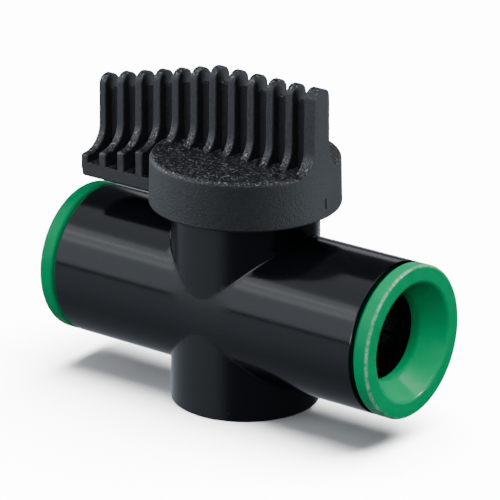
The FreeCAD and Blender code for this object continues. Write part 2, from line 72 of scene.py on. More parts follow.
# ------------------------------------------------------------------ shader graphs
class Signal:
    """A shader socket that takes part in Python arithmetic."""

    def __init__(self, graph: "Graph", socket: bpy.types.NodeSocket) -> None:
        """Wraps one output socket of a graph."""
        self.graph = graph
        self.socket = socket

    def _math(self, operation: str, *values: "Signal | float") -> "Signal":
        """One Math node on these values, in order."""
        node = self.graph.node("ShaderNodeMath", {"operation": operation}, dict(enumerate(values)))
        return Signal(self.graph, node.outputs[0])

    def __add__(self, other: "Signal | float") -> "Signal":
        """self + other."""
        return self._math("ADD", self, other)

    __radd__ = __add__

    def __sub__(self, other: "Signal | float") -> "Signal":
        """self - other."""
        return self._math("SUBTRACT", self, other)

    def __rsub__(self, other: "Signal | float") -> "Signal":
        """other - self."""
        return self._math("SUBTRACT", other, self)

    def __mul__(self, other: "Signal | float") -> "Signal":
        """self * other."""
        return self._math("MULTIPLY", self, other)

    __rmul__ = __mul__

    def __pow__(self, other: "Signal | float") -> "Signal":
        """self ** other."""
        return self._math("POWER", self, other)

    def step(self, low: float, high: float) -> "Signal":
        """A smooth step from 0 at low to 1 at high.

        Args:
            low: value that gives 0.
            high: value that gives 1; it may be under low for a falling step.

        Returns:
            The stepped signal.
        """
        settings = {"interpolation_type": "SMOOTHSTEP"}
        inputs = {"Value": self, "From Min": low, "From Max": high}
        node = self.graph.node("ShaderNodeMapRange", settings, inputs)
        return Signal(self.graph, node.outputs["Result"])


class Graph:
    """A node tree that is emptied and filled again."""

    def __init__(self, tree: bpy.types.NodeTree) -> None:
        """Empties the tree."""
        self.tree = tree
        self.tree.nodes.clear()

    def node(
        self, kind: str, settings: dict | None = None, inputs: dict | None = None
    ) -> bpy.types.Node:
        """Adds one node.

        Args:
            kind: the node's type.
            settings: its own attributes, set before its sockets; "ramp" holds the (place, colour)
                stops of a colour ramp.
            inputs: socket name or index to a value, a socket or a Signal.

        Returns:
            The new node.
        """
        made = self.tree.nodes.new(kind)
        for name, value in (settings or {}).items():
            if name == "ramp":
                self._fill_ramp(made, value)
            else:
                setattr(made, name, value)
        for name, value in (inputs or {}).items():
            source = value.socket if isinstance(value, Signal) else value
            if isinstance(source, bpy.types.NodeSocket):
                self.tree.links.new(source, made.inputs[name])
            else:
                made.inputs[name].default_value = source
        return made

    @staticmethod
    def _fill_ramp(node: bpy.types.Node, stops: Sequence[tuple[float, Colour]]) -> None:
        """Sets the stops of a colour ramp."""
        elements = node.color_ramp.elements
        while len(elements) < len(stops):
            elements.new(1.0)
        for element, (place, colour) in zip(elements, stops):
            element.position = place
            element.color = (*colour, 1.0)

    def part(self, vector: bpy.types.NodeSocket, name: str) -> Signal:
        """The X, Y or Z of a vector."""
        return Signal(self, self.node("ShaderNodeSeparateXYZ", None, {0: vector}).outputs[name])

    def ramp(self, amount: Signal, stops: Sequence[tuple[float, Colour]]) -> bpy.types.NodeSocket:
        """A colour along a list of (place, colour) stops, from 0 to 1."""
        return self.node("ShaderNodeValToRGB", {"ramp": stops}, {0: amount}).outputs["Color"]

    def blend(self, amount: "Signal | float", low: Tint, high: Tint) -> bpy.types.NodeSocket:
        """A colour from two.

        Args:
            amount: weight of the second, from 0 to 1.
            low: the first colour.
            high: the second colour.

        Returns:
            The colour.
        """
        inputs = {0: amount, 6: self._rgba(low), 7: self._rgba(high)}
        return self.node("ShaderNodeMix", {"data_type": "RGBA"}, inputs).outputs[2]

    @staticmethod
    def _rgba(colour: Tint) -> "tuple | bpy.types.NodeSocket":
        """A colour with its alpha, or a socket as it is."""
        return colour if isinstance(colour, bpy.types.NodeSocket) else (*colour, 1.0)


class Finish(Graph):
    """The node tree of one material, with its patterns in millimetres on the object."""

    def __init__(self, name: str) -> None:
        """Makes an empty material of this name with an output node."""
        self.material = bpy.data.materials.new(name)
        self.material.use_nodes = True
        super().__init__(self.material.node_tree)
        self.output = self.tree.nodes.new("ShaderNodeOutputMaterial")
        place = self.node("ShaderNodeTexCoord").outputs["Object"]
        inputs = {0: place, "Scale": 1 / MM}
        scaled = self.node("ShaderNodeVectorMath", {"operation": "SCALE"}, inputs)
        self.place = scaled.outputs["Vector"]

    def stretched(self, stretch: Colour) -> bpy.types.NodeSocket:
        """The place on the object in millimetres, scaled by an amount along each axis."""
        inputs = {0: self.place, 1: stretch}
        node = self.node("ShaderNodeVectorMath", {"operation": "MULTIPLY"}, inputs)
        return node.outputs["Vector"]

    def noise(
        self, size: float, detail: float = 2.0, rough: float = 0.5, stretch: Colour | None = None
    ) -> Signal:
        """Soft noise from 0 to 1.

        Args:
            size: feature size in millimetres.
            detail: octaves.
            rough: weight of the finer octaves.
            stretch: scale along each axis, for a drawn-out grain.

        Returns:
            The noise.
        """
        place = self.stretched(stretch) if stretch else self.place
        inputs = {"Vector": place, "Scale": 1 / size, "Detail": detail, "Roughness": rough}
        return Signal(self, self.node("ShaderNodeTexNoise", None, inputs).outputs[0])

    def cells(self, size: float) -> Signal:
        """Distance to the nearest of scattered points, in cells of a size in millimetres."""
        inputs = {"Vector": self.place, "Scale": 1 / size}
        return Signal(self, self.node("ShaderNodeTexVoronoi", None, inputs).outputs["Distance"])

    def axis(self, name: str) -> Signal:
        """The X, Y or Z place on the object, in millimetres."""
        return self.part(self.place, name)

    def facing_up(self) -> Signal:
        """The surface normal's Z, from -1 to 1."""
        return self.part(self.node("ShaderNodeNewGeometry").outputs["Normal"], "Z")

    def bump(self, height: Signal, depth: float, strength: float) -> bpy.types.NodeSocket:
        """A normal from a height.

        Args:
            height: the relief, from 0 to 1.
            depth: its depth in millimetres.
            strength: share of the relief that shows.

        Returns:
            The bent normal.
        """
        inputs = {"Height": height, "Distance": depth * MM, "Strength": strength}
        return self.node("ShaderNodeBump", None, inputs).outputs["Normal"]

    def surface(self, varying: dict, constants: dict) -> bpy.types.Material:
        """Ends the graph with a Principled shader and returns the material."""
        shader = self.node("ShaderNodeBsdfPrincipled", None, {**constants, **varying})
        self.tree.links.new(shader.outputs[0], self.output.inputs["Surface"])
        return self.material


# ------------------------------------------------------------------ finishes
@dataclass(frozen=True)
class GlossMoulding:
    """Black plastic off a polished mould: deep gloss, faint flow marks, scratches and dust."""

    name: str = "gloss_moulding"
    base: Colour = (0.0030, 0.0036, 0.0048)
    flow: Colour = (0.0055, 0.0065, 0.0085)
    dust: Colour = (0.06, 0.06, 0.06)
    roughness: float = 0.12
    middle_roughness: float = 0.40
    middle_reach: tuple[float, float] = (8.0, 2.0)
    waviness: float = 0.02

    def material(self) -> bpy.types.Material:
        """Builds the material."""
        g = Finish(self.name)
        flow = g.noise(9.0, 3.0, 0.55, (0.35, 1.0, 1.0))
        haze = g.noise(2.2, 4.0, 0.6)
        scratch = g.noise(0.16, 2.0, 0.6, (0.05, 1.0, 1.0)).step(0.68, 0.76)
        speck = g.cells(1.9).step(0.07, 0.04) * g.noise(5.0).step(0.52, 0.64)
        tone = g.blend(flow, self.base, self.flow)
        colour = g.blend(speck * 0.4, tone, self.dust)
        middle = (g.axis("X") * g.axis("X")) ** 0.5
        matt = middle.step(*self.middle_reach) * (self.middle_roughness - self.roughness)
        roughness = self.roughness + matt + haze * 0.05 + scratch * 0.10 + speck * 0.3
        relief = flow * 0.8 + g.noise(0.5, 2.0) * 0.03 + scratch * 0.02
        normal = g.bump(relief, self.waviness, 0.5)
        varying = {"Base Color": colour, "Roughness": roughness, "Normal": normal}
        return g.surface(varying, {"IOR": 1.5})


@dataclass(frozen=True)
class SatinMoulding:
    """Black plastic off a blasted mould: even satin with a fine grain."""

    name: str = "satin_moulding"
    base: Colour = (0.0085, 0.0100, 0.0125)
    pale: Colour = (0.0165, 0.0192, 0.0235)
    roughness: float = 0.46
    grain: float = 0.20
    depth: float = 0.016

    def material(self) -> bpy.types.Material:
        """Builds the material."""
        g = Finish(self.name)
        cloud = g.noise(6.0, 3.0, 0.6)
        grain = g.noise(self.grain, 3.0, 0.65)
        pit = g.cells(self.grain * 2.2).step(0.0, 0.55)
        rub = g.noise(1.4, 4.0, 0.7).step(0.55, 0.8)
        colour = g.blend(cloud * 0.6 + rub * 0.25, self.base, self.pale)
        roughness = self.roughness + cloud * 0.08 - rub * 0.06 + grain * 0.06
        relief = grain * 0.7 + pit * 0.3
        normal = g.bump(relief, self.depth, 0.8)
        varying = {"Base Color": colour, "Roughness": roughness, "Normal": normal}
        return g.surface(varying, {"IOR": 1.48, "Specular IOR Level": 0.38})


@dataclass(frozen=True)
class SparkErodedMoulding:
    """Charcoal plastic off a spark-eroded mould: coarse on top with painted glints and painted
    shade in its hollows, finer on the sides.
    """

    name: str = "spark_eroded_moulding"
    base: Colour = (0.0042, 0.0050, 0.0062)
    pale: Colour = (0.023, 0.0262, 0.0312)
    # colour of the painted shade in the grain's hollows
    pit: Colour = (0.0008, 0.0009, 0.0011)
    # colour of the painted glints, pale spots mixed into the base colour
    painted_glint: Colour = (0.27, 0.29, 0.325)
    side_roughness: float = 0.56
    top_roughness: float = 0.32
    pit_size: float = 0.50
    depth: float = 0.16
    # share of the painted glints that also shows on the sides
    side_painted_glints: float = 0.03

    def material(self) -> bpy.types.Material:
        """Builds the material."""
        g = Finish(self.name)
        up = g.facing_up().step(0.15, 0.75)
        pit = g.cells(self.pit_size).step(0.02, 0.62)
        fine = g.noise(0.28, 3.0, 0.75).step(0.30, 0.70)
        coarse = g.noise(0.46, 3.0, 0.65)
        cloud = g.noise(5.0, 3.0, 0.6)
        chalk = g.noise(0.9, 4.0, 0.7).step(0.52, 0.78)
        tone = g.blend(cloud * 0.3 + chalk * 0.2 + fine * 0.5, self.base, self.pale)
        # painted shade: dark spots for the grain's hollows, mostly on top-facing surfaces
        hollow = g.noise(0.50, 3.0, 0.75).step(0.62, 0.50) * (0.15 + 0.80 * up)
        tone_with_painted_shade = g.blend(hollow, tone, self.pit)
        # painted highlight: pale glint spots in the base colour, mostly on top-facing surfaces
        painted_glint_spots = g.noise(0.46, 4.0, 0.8).step(0.55, 0.63)
        painted_glint = painted_glint_spots * (self.side_painted_glints + (1 - self.side_painted_glints) * up)
        colour = g.blend(painted_glint, tone_with_painted_shade, self.painted_glint)
        polish = (self.side_roughness - self.top_roughness) * up
        roughness = self.side_roughness - polish + 0.12 * (fine - 0.5)
        relief = (pit * 0.6 + coarse * 0.7) * (0.18 + 0.9 * up) + fine * 0.26
        normal = g.bump(relief, self.depth, 1.0)
        varying = {"Base Color": colour, "Roughness": roughness, "Normal": normal}
        return g.surface(varying, {"IOR": 1.5})


@dataclass(frozen=True)
class TintedCollar:
    """Green semi-gloss plastic with a broken pale line of painted highlight along the outer edge,
    where the coat is raised too.
    """

    axis_height: float
    half_span: float
    rim_r: float
    name: str = "tinted_collar"
    deep: Colour = (0.0, 0.245, 0.088)
    bright: Colour = (0.0, 0.330, 0.122)
    # colour of the painted highlight along the outer edge
    painted_highlight: Colour = (0.42, 0.70, 0.52)
    roughness: float = 0.17
    coat: float = 0.06
    # width of the band that carries the painted highlight
    highlight_band_width: float = 0.62

    def painted_highlight_edge(self, g: Finish) -> Signal:
        """Strength of the broken pale line of painted highlight where the face turns into the band;
        it also raises the coat and roughness there.
        """
        sideways = g.axis("Y")
        upwards = g.axis("Z") - self.axis_height
        radius = (sideways * sideways + upwards * upwards) ** 0.5
        span = (g.axis("X") * g.axis("X")) ** 0.5
        outward = (radius - (self.rim_r - self.highlight_band_width)).step(0.0, self.highlight_band_width)
        endward = (span - (self.half_span - self.highlight_band_width)).step(0.0, self.highlight_band_width)
        broken = g.noise(1.3, 5.0, 0.8).step(0.42, 0.60)
        return outward * endward * (0.15 + 0.85 * broken)

    def material(self) -> bpy.types.Material:
        """Builds the material."""
        g = Finish(self.name)
        cloud = g.noise(4.0, 4.0, 0.6)
        flow = g.noise(1.1, 3.0, 0.6, (1.0, 0.4, 0.4))
        grain = g.noise(0.28, 3.0, 0.6)
        scuff = g.noise(0.7, 5.0, 0.75).step(0.60, 0.80)
        edge = self.painted_highlight_edge(g)
        tone = g.blend(cloud * 0.7 + flow * 0.3, self.deep, self.bright)
        # painted highlight: the pale broken line along the outer edge is mixed into the base colour
        colour = g.blend(edge * 0.8, tone, self.painted_highlight)
        roughness = self.roughness + cloud * 0.05 + scuff * 0.10 + grain * 0.04 + edge * 0.08
        relief = grain * 0.25 + flow * 0.5 + scuff * 0.1
        normal = g.bump(relief, 0.016, 0.6)
        coat = self.coat + edge * 0.6
        varying = {
            "Base Color": colour,
            "Roughness": roughness,
            "Coat Weight": coat,
            "Normal": normal,
        }
        constants = {
            "IOR": 1.46,
            "Specular IOR Level": 0.05,
            "Coat Roughness": 0.08,
            "Subsurface Weight": 0.25,
            "Subsurface Radius": (0.1, 1.0, 0.4),
            "Subsurface Scale": 0.0010,
        }
        return g.surface(varying, constants)


@dataclass(frozen=True)
class PlainPolymer:
    """A working polymer inside the valve, with moulding clouds, fine grain and rubbed patches."""

    name: str
    base: Colour
    pale: Colour
    roughness: float
    grain: float = 0.2
    depth: float = 0.01

    def material(self) -> bpy.types.Material:
        """Builds the material."""
        g = Finish(self.name)
        cloud = g.noise(3.0, 3.0, 0.6)
        grain = g.noise(self.grain, 3.0, 0.6)
        ring = g.noise(0.25, 2.0, 0.5, (1.0, 0.06, 0.06))
        rub = g.noise(1.0, 4.0, 0.7).step(0.55, 0.75)
        colour = g.blend(cloud * 0.7 + rub * 0.3, self.base, self.pale)
        roughness = self.roughness + grain * 0.08 - rub * 0.08
        relief = grain * 0.6 + ring * 0.4
        normal = g.bump(relief, self.depth, 0.7)
        varying = {"Base Color": colour, "Roughness": roughness, "Normal": normal}
        return g.surface(varying, {"IOR": 1.49})


@dataclass(frozen=True)
class SpringSteel:
    """Bright rolled strip with a drawn grain and slight heat tint."""

    name: str = "spring_steel"
    base: Colour = (0.24, 0.235, 0.23)
    tint: Colour = (0.16, 0.135, 0.10)
    roughness: float = 0.30

    def material(self) -> bpy.types.Material:
        """Builds the material."""
        g = Finish(self.name)
        drawn = g.noise(0.12, 3.0, 0.6, (1.0, 0.12, 1.0))
        stain = g.noise(1.6, 4.0, 0.65).step(0.5, 0.8)
        colour = g.blend(stain * 0.6 + drawn * 0.2, self.base, self.tint)
        roughness = self.roughness + drawn * 0.12 + stain * 0.1
        normal = g.bump(drawn, 0.004, 0.7)
        varying = {"Base Color": colour, "Roughness": roughness, "Normal": normal}
        return g.surface(varying, {"Metallic": 1.0})


@dataclass(frozen=True)
class StudioFloor:
    """Matte white sweep."""

    name: str = "studio_floor"
    white: Colour = (0.86, 0.86, 0.86)
    shade: Colour = (0.83, 0.83, 0.835)

    def material(self) -> bpy.types.Material:
        """Builds the material."""
        g = Finish(self.name)
        cloud = g.noise(120.0, 3.0, 0.5)
        tooth = g.noise(0.8, 3.0, 0.6)
        colour = g.blend(cloud, self.shade, self.white)
        varying = {"Base Color": colour, "Normal": g.bump(tooth, 0.01, 0.3)}
        return g.surface(varying, {"Roughness": 0.85, "Specular IOR Level": 0.2})


# ------------------------------------------------------------------ mesh work
class Axis(Enum):
    """A direction that a shape is turned about or drawn along."""

    BARREL = Vector((1, 0, 0))
    STEM = Vector((0, 0, 1))


@dataclass
class Corner:
    """A point of an outline and the radius that rounds it."""

    u: float
    v: float
    radius: float = 0.0


def post(low: Corner, high: Corner) -> list[Corner]:
    """The half section of a solid round post between its two outer corners."""
    return [Corner(low.u, 0), low, high, Corner(high.u, 0)]


def flipped(corners: Sequence[Corner]) -> list[Corner]:
    """The same corners on the outline's other side, in the opposite order."""
    return [Corner(-corner.u, corner.v, corner.radius) for corner in reversed(corners)]


def bevelled(bm: bmesh.types.BMesh, parts: list, offset: float, steps: int, affect: str) -> None:
    """Rounds "VERTICES" or "EDGES"; a rounding of edges is held back where two would meet."""
    bmesh.ops.bevel(
        bm,
        geom=parts,
        offset=offset,
        offset_type="OFFSET",
        affect=affect,
        segments=steps,
        profile=0.5,
        material=-1,
        clamp_overlap=affect == "EDGES",
    )


def draw(
    corners: Sequence[Corner], place: Callable[[float, float], Vector], steps: int = 6
) -> bmesh.types.BMesh:
    """Draws one flat face from an outline and rounds its corners.

    Args:
        corners: the outline, in order.
        place: puts an outline point in space.
        steps: segments of each rounded corner.

    Returns:
        A bmesh with the face.
    """
    bm = bmesh.new()
    verts = [bm.verts.new(place(c.u, c.v)) for c in corners]
    bm.faces.new(verts)
    for vert, corner in zip(verts, corners):
        if corner.radius > 0:
            setback = corner.radius / math.tan(corner_angle(vert) / 2)
            bevelled(bm, [vert], setback, steps, "VERTICES")
    return bm


def corner_angle(vert: bmesh.types.BMVert) -> float:
    """The angle between the two edges that meet at an outline's corner."""
    first, second = (edge.other_vert(vert).co - vert.co for edge in vert.link_edges)
    return first.angle(second)


def tidy(bm: bmesh.types.BMesh) -> bmesh.types.BMesh:
    """Merges doubles, drops loose edges and turns the faces outwards."""
    bmesh.ops.remove_doubles(bm, verts=bm.verts[:], dist=MERGE)
    loose = [edge for edge in bm.edges if not edge.link_faces]
    bmesh.ops.delete(bm, geom=loose, context="EDGES")
    bmesh.ops.recalc_face_normals(bm, faces=bm.faces[:])
    return bm


def divided(bm: bmesh.types.BMesh, pitch: float) -> None:
    """Divides every edge that is longer than a pitch."""
    for edge in bm.edges[:]:
        cuts = int(edge.calc_length() / pitch)
        if cuts:
            bmesh.ops.subdivide_edges(bm, edges=[edge], cuts=cuts)


def turned(
    corners: Sequence[Corner],
    axis: Axis,
    height: float,
    steps: int,
    arc: int = 6,
    pitch: float = math.inf,
) -> bmesh.types.BMesh:
    """A solid of revolution.

    Args:
        corners: the outline as (place along the axis, radius).
        axis: what it turns about.
        height: the barrel axis's height; a shape about the stem doesn't use it.
        steps: segments round the circle.
        arc: segments of each rounded corner.
        pitch: longest edge left along the outline.

    Returns:
        The closed solid.
    """
    along_barrel = axis is Axis.BARREL
    centre = Vector((0, 0, height if along_barrel else 0))

    def place(along: float, radius: float) -> Vector:
        """A point of the outline, in the XZ plane."""
        return centre + (Vector((along, 0, radius)) if along_barrel else Vector((radius, 0, along)))

    bm = draw(corners, place, arc)
    bmesh.ops.delete(bm, geom=bm.faces[:], context="FACES_ONLY")
    divided(bm, pitch)
    bmesh.ops.spin(
        bm,
        geom=bm.verts[:] + bm.edges[:],
        cent=centre,
        axis=axis.value,
        dvec=(0, 0, 0),
        angle=math.tau,
        steps=steps,
        use_merge=True,
        use_duplicate=False,
    )
    return tidy(bm)


def extruded(bm: bmesh.types.BMesh, travel: Vector) -> bmesh.types.BMesh:
    """Draws a flat face out into a closed prism.

    Args:
        bm: the face.
        travel: how far and which way it is drawn.

    Returns:
        The prism.
    """
    made = bmesh.ops.extrude_face_region(bm, geom=bm.faces[:], use_keep_orig=True)
    verts = [item for item in made["geom"] if isinstance(item, bmesh.types.BMVert)]
    bmesh.ops.translate(bm, verts=verts, vec=travel)
    return tidy(bm)


def lofted(sections: Sequence[Sequence[Vector]]) -> bmesh.types.BMesh:
    """A closed tube through a ring of sections.

    Args:
        sections: the points of each section, in the same order.

    Returns:
        The closed solid.
    """
    bm = bmesh.new()
    loops = []
    for section in sections:
        verts = [bm.verts.new(point) for point in section]
        loops.append([bm.edges.new(pair) for pair in zip(verts, verts[1:] + verts[:1])])
    for loop, following in zip(loops, loops[1:] + loops[:1]):
        bmesh.ops.bridge_loops(bm, edges=loop + following)
    return tidy(bm)


def block(low: Vector, high: Vector) -> bmesh.types.BMesh:
    """A box between two corners."""
    bm = bmesh.new()
    bmesh.ops.create_cube(bm, size=1.0)
    bmesh.ops.scale(bm, vec=high - low, verts=bm.verts)
    bmesh.ops.translate(bm, vec=(low + high) / 2, verts=bm.verts)
    return bm


def about_stem(bm: bmesh.types.BMesh, degrees: float) -> bmesh.types.BMesh:
    """Turns a solid about the stem."""
    turn = Matrix.Rotation(math.radians(degrees), 3, "Z")
    bmesh.ops.rotate(bm, verts=bm.verts, cent=(0, 0, 0), matrix=turn)
    return bm


def near(value: float, target: float) -> bool:
    """True if two sizes in millimetres are the same."""
    return abs(value - target) < SAME


def lies_at(edge: bmesh.types.BMEdge, axis: str, place: float) -> bool:
    """True if both ends of an edge are at one place along x, y or z."""
    return all(near(getattr(vert.co, axis), place) for vert in edge.verts)


def every_edge(edge: bmesh.types.BMEdge) -> bool:
    """True for any edge."""
    return True


def softened(
    bm: bmesh.types.BMesh,
    radius: float,
    wanted: Callable[[bmesh.types.BMEdge], bool] = every_edge,
    steps: int = 3,
) -> bmesh.types.BMesh:
    """Rounds the edges that a test picks.

    Args:
        bm: the solid.
        radius: the rounding.
        wanted: tells whether an edge is rounded.
        steps: segments of the rounding.

    Returns:
        The same solid.
    """
    bevelled(bm, [edge for edge in bm.edges if wanted(edge)], radius, steps, "EDGES")
    return bm


def painted(bm: bmesh.types.BMesh, index: int) -> bmesh.types.BMesh:
    """Gives every face a material index."""
    for face in bm.faces:
        face.material_index = index
    return bm


def linked(name: str, data: bpy.types.ID) -> bpy.types.Object:
    """A new object of some data, in the scene."""
    made = bpy.data.objects.new(name, data)
    bpy.context.scene.collection.objects.link(made)
    return made


def meshed(name: str, bm: bmesh.types.BMesh) -> bpy.types.Object:
    """A new mesh object of a bmesh, which is used up."""
    mesh = bpy.data.meshes.new(name)
    bm.to_mesh(mesh)
    bm.free()
    return linked(name, mesh)


def scrap(spent: bpy.types.Object) -> None:
    """Removes a mesh object and its mesh."""
    mesh = spent.data
    bpy.data.objects.remove(spent)
    bpy.data.meshes.remove(mesh)


def aim(made: bpy.types.Object, place: Vector, along: Vector) -> None:
    """Puts a light or a camera at a place, looking along a direction."""
    made.location = place
    made.rotation_mode = "QUATERNION"
    made.rotation_quaternion = along.to_track_quat("-Z", "Y")


class Operation(Enum):
    """How a shape joins another."""

    ADD = "UNION"
    CUT = "DIFFERENCE"
    KEEP = "INTERSECT"


class Workpiece:
    """A mesh object that solids are added to or cut from, in millimetres until it is finished."""

    def __init__(self, name: str, start: bmesh.types.BMesh) -> None:
        """Starts from one closed solid."""
        self.name = name
        self.object = meshed(name, start)

    def apply(self, operation: Operation, tool: bmesh.types.BMesh) -> None:
        """Adds, cuts or intersects with one closed solid.

        Args:
            operation: what is done.
            tool: the other solid, used up.
        """
        other = meshed(self.name + "_tool", tool)
        modifier = self.object.modifiers.new("combine", "BOOLEAN")
        modifier.operation = operation.value
        modifier.solver = "EXACT"
        modifier.object = other
        self._bake()
        scrap(other)

    def _bake(self) -> None:
        """Applies the modifiers to the mesh."""
        bpy.context.view_layer.update()
        ready = self.object.evaluated_get(bpy.context.evaluated_depsgraph_get())
        mesh = bpy.data.meshes.new_from_object(ready)
        spent = self.object.data
        self.object.modifiers.clear()
        self.object.data = mesh
        bpy.data.meshes.remove(spent)

    def solid(self) -> bmesh.types.BMesh:
        """Gives the mesh up as a bmesh and removes the object."""
        bm = bmesh.new()
        bm.from_mesh(self.object.data)
        scrap(self.object)
        return tidy(bm)

    def finish(self, materials: Sequence[bpy.types.Material]) -> bpy.types.Object:
        """Cleans the mesh, brings it to metres, shades it and dresses it.

        Args:
            materials: one for each material index.

        Returns:
            The finished object.
        """
        bm = bmesh.new()
        bm.from_mesh(self.object.data)
        bmesh.ops.dissolve_degenerate(bm, edges=bm.edges[:], dist=MERGE)
        tidy(bm)
        bmesh.ops.scale(bm, vec=(MM, MM, MM), verts=bm.verts)
        mesh = self.object.data
        bm.to_mesh(mesh)
        bm.free()
        mesh.materials.clear()
        for material in materials:
            mesh.materials.append(material)
        mesh.shade_smooth()
        mesh.set_sharp_from_angle(angle=math.radians(SHARP))
        modifier = self.object.modifiers.new("flat faces stay flat", "WEIGHTED_NORMAL")
        modifier.keep_sharp = True
        self._bake()
        mesh = self.object.data
        mesh.name = self.name
        LOG.info("%s: %d vertices, %d faces", self.name, len(mesh.vertices), len(mesh.polygons))
        return self.object


# ------------------------------------------------------------------ sizes from the frame
@dataclass(frozen=True)
class Datum:
    """The frame's leading sizes in millimetres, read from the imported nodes."""

    axis_height: float
    barrel_r: float
    barrel_end: float
    half_span: float
    spigot_r: float
    spigot_end: float
    throat_r: float
    seat_r: float
    tower_top: float
    bonnet_r: float
    bonnet_seat: float
    cap_r: float
    underside: float
    crest: float
    reach: float

    @classmethod
    def read(cls) -> "Datum":
        """Reads every size from the boxes of the nodes."""
        collar_low, collar_high = (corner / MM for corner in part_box("collar_right"))
        body_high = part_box("valve_body")[1] / MM
        bonnet_low, bonnet_high = (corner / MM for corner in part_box("bonnet"))
        handle_low, handle_high = (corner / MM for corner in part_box("handle"))
        washer_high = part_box("backing_washer_right")[1] / MM
        seat_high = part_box("seat_right")[1] / MM
        throat = frame["record"]["mounts"][0]["dims"]["r_mm"]
        return cls(
            axis_height=(collar_low.z + collar_high.z) / 2,
            barrel_r=collar_high.y,
            barrel_end=body_high.x,
            half_span=collar_high.x,
            spigot_r=washer_high.y,
            spigot_end=collar_low.x,
            throat_r=throat,
            seat_r=seat_high.y,
            tower_top=body_high.z,
            bonnet_r=bonnet_high.y,
            bonnet_seat=bonnet_low.z,
            cap_r=handle_high.y,
            underside=handle_low.z,
            crest=handle_high.z,
            reach=-handle_low.x,
        )


